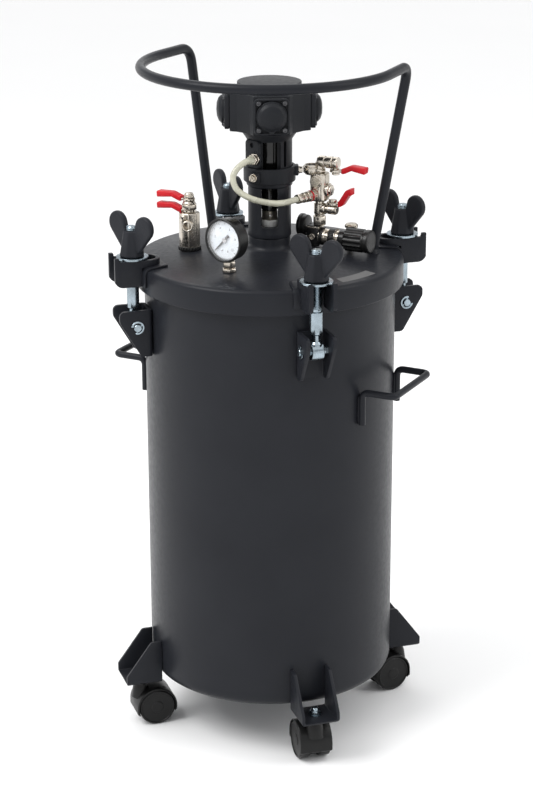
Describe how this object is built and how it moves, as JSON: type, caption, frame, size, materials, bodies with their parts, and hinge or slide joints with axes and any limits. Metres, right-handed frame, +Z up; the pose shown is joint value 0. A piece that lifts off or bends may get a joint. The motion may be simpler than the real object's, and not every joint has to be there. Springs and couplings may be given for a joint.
{
  "type": "resin pressure pot",
  "caption": "Tall black pressure tank on casters, with a clamped lid that carries an air motor agitator, gauge, air manifold, fluid outlet and lifting hoop.",
  "frame": {"origin": "on the floor, on the tank axis, midway between the four casters", "axes": "+Z up along the tank axis; +X towards the regulator and the right side handle; -Y towards the pressure gauge"},
  "size_m": [0.4222, 0.351, 0.9025],
  "materials": {
    "black_paint": "satin graphite black powder coat",
    "motor_black": "satin black on cast metal",
    "zinc": "bright zinc plate",
    "nickel": "nickel plated brass",
    "steel": "ground stainless steel",
    "gasket_rubber": "moulded rubber",
    "white_packing": "turned fluoropolymer",
    "red_grip": "dipped red vinyl",
    "black_plastic": "moulded",
    "caster_plastic": "moulded nylon",
    "clear_hose": "translucent tube"
  },
  "bodies": {
    "tank": {"tank_shell": "black_paint", "side_handle_left": "black_paint", "side_handle_right": "black_paint", "clamp_bracket_1": "black_paint", "clamp_bracket_2": "black_paint", "clamp_bracket_3": "black_paint", "clamp_bracket_4": "black_paint", "swing_bolt_1": "zinc", "swing_bolt_2": "zinc", "swing_bolt_3": "zinc", "swing_bolt_4": "zinc", "caster_bracket_1": "black_paint", "caster_bracket_2": "black_paint", "caster_bracket_3": "black_paint", "caster_bracket_4": "black_paint"},
    "lid": {"lid": "black_paint", "lid_gasket": "gasket_rubber", "lift_hoop": "black_paint", "lid_lug_1": "black_paint", "lid_lug_2": "black_paint", "lid_lug_3": "black_paint", "lid_lug_4": "black_paint", "packing_ring": "white_packing", "gland_nut": "nickel", "bearing_column": "motor_black", "column_collar": "motor_black", "motor_housing": "motor_black", "motor_cap": "motor_black", "cylinder_head_1": "motor_black", "cylinder_head_2": "motor_black", "cylinder_head_3": "motor_black", "cylinder_head_4": "motor_black", "fluid_outlet_block": "nickel", "pickup_tube": "steel", "regulator_body": "motor_black", "regulator_gauge": "black_plastic", "air_manifold": "nickel", "gauge_case": "black_plastic", "air_hose": "clear_hose"},
    "agitator": {"agitator_shaft": "steel", "propeller": "steel"},
    "wing_nut_1": {"wing_nut_1": "black_paint"},
    "wing_nut_2": {"wing_nut_2": "black_paint"},
    "wing_nut_3": {"wing_nut_3": "black_paint"},
    "wing_nut_4": {"wing_nut_4": "black_paint"},
    "caster_1": {"caster_hood_1": "caster_plastic"},
    "wheels_1": {"caster_wheels_1": "caster_plastic"},
    "caster_2": {"caster_hood_2": "caster_plastic"},
    "wheels_2": {"caster_wheels_2": "caster_plastic"},
    "caster_3": {"caster_hood_3": "caster_plastic"},
    "wheels_3": {"caster_wheels_3": "caster_plastic"},
    "caster_4": {"caster_hood_4": "caster_plastic"},
    "wheels_4": {"caster_wheels_4": "caster_plastic"},
    "outlet_lever_lower": {"outlet_lever_lower": "red_grip"},
    "outlet_lever_upper": {"outlet_lever_upper": "red_grip"},
    "inlet_lever": {"inlet_lever": "red_grip"},
    "motor_valve_lever": {"motor_valve_lever": "red_grip"},
    "regulator_knob": {"regulator_knob": "black_plastic"},
    "gauge_needle": {"gauge_needle": "black_plastic"},
    "relief_valve": {"relief_valve": "nickel"}
  },
  "joints": [
    {"name": "lid_lift", "type": "slide", "parent": "tank", "child": "lid", "axis": [0, 0, 1], "range_m": [0, 0.56]},
    {"name": "agitator_turn", "type": "hinge", "parent": "lid", "child": "agitator", "pos_m": [0, 0, 0.4], "axis": [0, 0, 1], "continuous": true},
    {"name": "wing_nut_1_turn", "type": "hinge", "parent": "lid", "child": "wing_nut_1", "pos_m": [-0.13152, -0.13152, 0.68], "axis": [0, 0, 1], "continuous": true},
    {"name": "wing_nut_2_turn", "type": "hinge", "parent": "lid", "child": "wing_nut_2", "pos_m": [0.13152, -0.13152, 0.68], "axis": [0, 0, 1], "continuous": true},
    {"name": "wing_nut_3_turn", "type": "hinge", "parent": "lid", "child": "wing_nut_3", "pos_m": [0.13152, 0.13152, 0.68], "axis": [0, 0, 1], "continuous": true},
    {"name": "wing_nut_4_turn", "type": "hinge", "parent": "lid", "child": "wing_nut_4", "pos_m": [-0.13152, 0.13152, 0.68], "axis": [0, 0, 1], "continuous": true},
    {"name": "caster_1_swivel", "type": "hinge", "parent": "tank", "child": "caster_1", "pos_m": [-0.13294, -0.13294, 0.06], "axis": [0, 0, 1], "continuous": true},
    {"name": "wheels_1_roll", "type": "hinge", "parent": "caster_1", "child": "wheels_1", "pos_m": [-0.12021, -0.12021, 0.025], "axis": [-0.7071, 0.7071, 0], "continuous": true},
    {"name": "caster_2_swivel", "type": "hinge", "parent": "tank", "child": "caster_2", "pos_m": [0.13294, -0.13294, 0.06], "axis": [0, 0, 1], "continuous": true},
    {"name": "wheels_2_roll", "type": "hinge", "parent": "caster_2", "child": "wheels_2", "pos_m": [0.12066, -0.11977, 0.025], "axis": [-0.7314, -0.682, 0], "continuous": true},
    {"name": "caster_3_swivel", "type": "hinge", "parent": "tank", "child": "caster_3", "pos_m": [0.13294, 0.13294, 0.06], "axis": [0, 0, 1], "continuous": true},
    {"name": "wheels_3_roll", "type": "hinge", "parent": "caster_3", "child": "wheels_3", "pos_m": [0.12313, 0.11784, 0.025], "axis": [0.8387, -0.5446, 0], "continuous": true},
    {"name": "caster_4_swivel", "type": "hinge", "parent": "tank", "child": "caster_4", "pos_m": [-0.13294, 0.13294, 0.06], "axis": [0, 0, 1], "continuous": true},
    {"name": "wheels_4_roll", "type": "hinge", "parent": "caster_4", "child": "wheels_4", "pos_m": [-0.11521, 0.13606, 0.025], "axis": [-0.1736, 0.9848, 0], "continuous": true},
    {"name": "outlet_lever_lower_turn", "type": "hinge", "parent": "lid", "child": "outlet_lever_lower", "pos_m": [-0.097, -0.041, 0.705], "axis": [0, 0, 1], "range_deg": [-90, 0]},
    {"name": "outlet_lever_upper_turn", "type": "hinge", "parent": "lid", "child": "outlet_lever_upper", "pos_m": [-0.097, -0.041, 0.72], "axis": [0, 0, 1], "range_deg": [-90, 0]},
    {"name": "inlet_lever_turn", "type": "hinge", "parent": "lid", "child": "inlet_lever", "pos_m": [0.077, 0.038, 0.759], "axis": [0, 0, 1], "range_deg": [-90, 0]},
    {"name": "motor_valve_lever_turn", "type": "hinge", "parent": "lid", "child": "motor_valve_lever", "pos_m": [0.073, 0.038, 0.7155], "axis": [0, 0, 1], "range_deg": [-90, 0]},
    {"name": "regulator_knob_turn", "type": "hinge", "parent": "lid", "child": "regulator_knob", "pos_m": [0.11, 0.038, 0.67], "axis": [1, 0, 0], "range_deg": [-900, 900]},
    {"name": "gauge_needle_sweep", "type": "hinge", "parent": "lid", "child": "gauge_needle", "pos_m": [-0.0026, -0.12006, 0.694], "axis": [0.1736, 0.9848, 0], "range_deg": [0, 270]},
    {"name": "relief_valve_pull", "type": "slide", "parent": "lid", "child": "relief_valve", "axis": [0, 0, 1], "range_m": [0, 0.004], "stiffness_N_per_m": 800}
  ]
}
